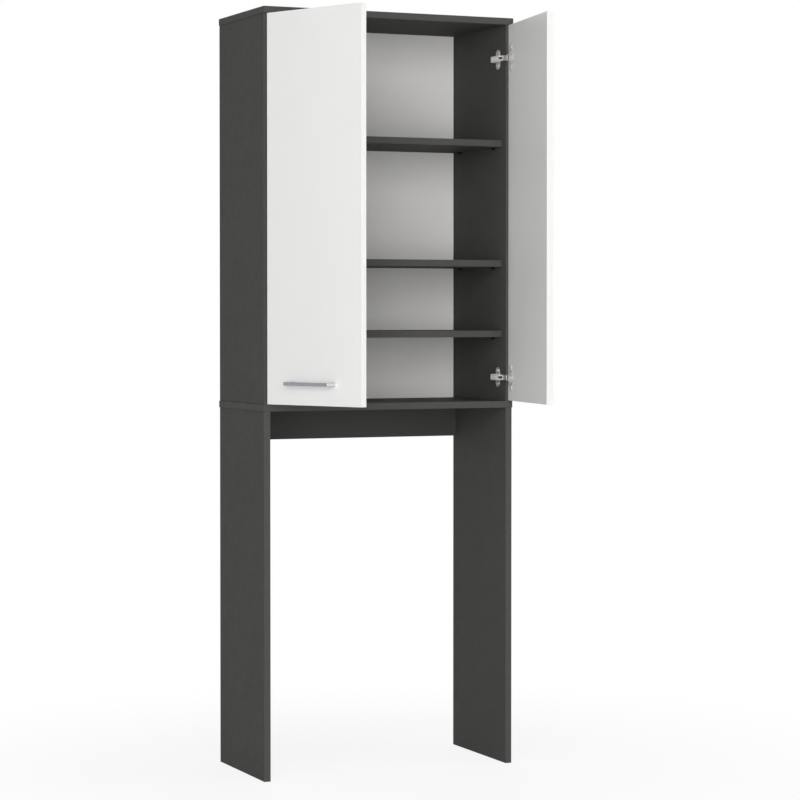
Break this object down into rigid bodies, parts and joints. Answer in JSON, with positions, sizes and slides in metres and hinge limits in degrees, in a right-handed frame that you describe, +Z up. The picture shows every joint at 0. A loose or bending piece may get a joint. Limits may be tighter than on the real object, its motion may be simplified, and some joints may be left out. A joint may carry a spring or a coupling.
{
  "type": "bathroom cabinet",
  "caption": "Tall cabinet that stands over a low appliance, with inset doors on cup hinges above an open bay and pinned shelves behind them.",
  "frame": {"origin": "middle of the footprint on the floor, with the doors part open as stored; the cabinet's own centre plane lies 6.1 mm to the -X side", "axes": "+Z up, the front with the doors faces -Y, +X to the right as seen from the front"},
  "size_m": [0.6562, 0.6132, 1.8],
  "materials": {
    "anthracite_board": "matt melamine",
    "white_door": "satin melamine",
    "back_board": "lacquered hardboard",
    "nickel_hinge": "nickel plated",
    "zinc_hardware": "zinc plated",
    "brushed_handle": "brushed",
    "beech": "bare"
  },
  "bodies": {
    "carcass": {"lower_side_left": "anthracite_board", "lower_side_right": "anthracite_board", "upper_side_left": "anthracite_board", "upper_side_right": "anthracite_board", "middle_board": "anthracite_board", "top_board": "anthracite_board", "rear_rail": "anthracite_board", "shelf_bottom": "anthracite_board", "shelf_middle": "anthracite_board", "shelf_top": "anthracite_board", "back_panel": "back_board", "shelf_pin_bottom_left_front": "zinc_hardware", "shelf_pin_bottom_left_rear": "zinc_hardware", "shelf_pin_bottom_right_front": "zinc_hardware", "shelf_pin_bottom_right_rear": "zinc_hardware", "shelf_pin_middle_left_front": "zinc_hardware", "shelf_pin_middle_left_rear": "zinc_hardware", "shelf_pin_middle_right_front": "zinc_hardware", "shelf_pin_middle_right_rear": "zinc_hardware", "shelf_pin_top_left_front": "zinc_hardware", "shelf_pin_top_left_rear": "zinc_hardware", "shelf_pin_top_right_front": "zinc_hardware", "shelf_pin_top_right_rear": "zinc_hardware", "middle_dowel_left_front": "beech", "middle_dowel_left_rear": "beech", "middle_dowel_right_front": "beech", "middle_dowel_right_rear": "beech", "top_dowel_left_front": "beech", "top_dowel_left_rear": "beech", "top_dowel_right_front": "beech", "top_dowel_right_rear": "beech", "rail_dowel_left": "beech", "rail_dowel_right": "beech", "hinge_plate_left_upper": "nickel_hinge", "hinge_plate_left_lower": "nickel_hinge", "hinge_plate_right_upper": "nickel_hinge", "hinge_plate_right_lower": "nickel_hinge", "hinge_arm_left_upper": "nickel_hinge", "hinge_arm_left_lower": "nickel_hinge", "hinge_arm_right_upper": "nickel_hinge", "hinge_arm_right_lower": "nickel_hinge"},
    "left_door": {"door_left": "white_door", "handle_left": "brushed_handle", "handle_screw_left_hinge": "zinc_hardware", "handle_screw_left_free": "zinc_hardware", "hinge_cup_left_upper": "nickel_hinge", "hinge_cup_left_lower": "nickel_hinge"},
    "right_door": {"door_right": "white_door", "handle_right": "brushed_handle", "handle_screw_right_hinge": "zinc_hardware", "handle_screw_right_free": "zinc_hardware", "hinge_cup_right_upper": "nickel_hinge", "hinge_cup_right_lower": "nickel_hinge"},
    "left_hinge_links": {"hinge_link_left_upper": "nickel_hinge", "hinge_link_left_lower": "nickel_hinge"},
    "right_hinge_links": {"hinge_link_right_upper": "nickel_hinge", "hinge_link_right_lower": "nickel_hinge"}
  },
  "joints": [
    {"name": "left_door_hinge", "type": "hinge", "parent": "carcass", "child": "left_door", "pos_m": [-0.32539, 0.00839, 1.331], "axis": [0, 0, 1], "range_deg": [-28.5, 66.5]},
    {"name": "right_door_hinge", "type": "hinge", "parent": "carcass", "child": "right_door", "pos_m": [0.31321, 0.00839, 1.331], "axis": [0, 0, 1], "range_deg": [-80.8, 14.2]},
    {"name": "left_link_pivot", "type": "hinge", "parent": "carcass", "child": "left_hinge_links", "pos_m": [-0.29659, 0.01209, 1.331], "axis": [0, 0, 1], "range_deg": [-41.4, 96.5]},
    {"name": "right_link_pivot", "type": "hinge", "parent": "carcass", "child": "right_hinge_links", "pos_m": [0.28441, 0.01209, 1.331], "axis": [0, 0, 1], "range_deg": [-117.2, 20.6]}
  ],
  "couplings": [
    {"joint": "left_link_pivot", "follows": "left_door_hinge", "ratio": 1.45},
    {"joint": "right_link_pivot", "follows": "right_door_hinge", "ratio": 1.45}
  ]
}
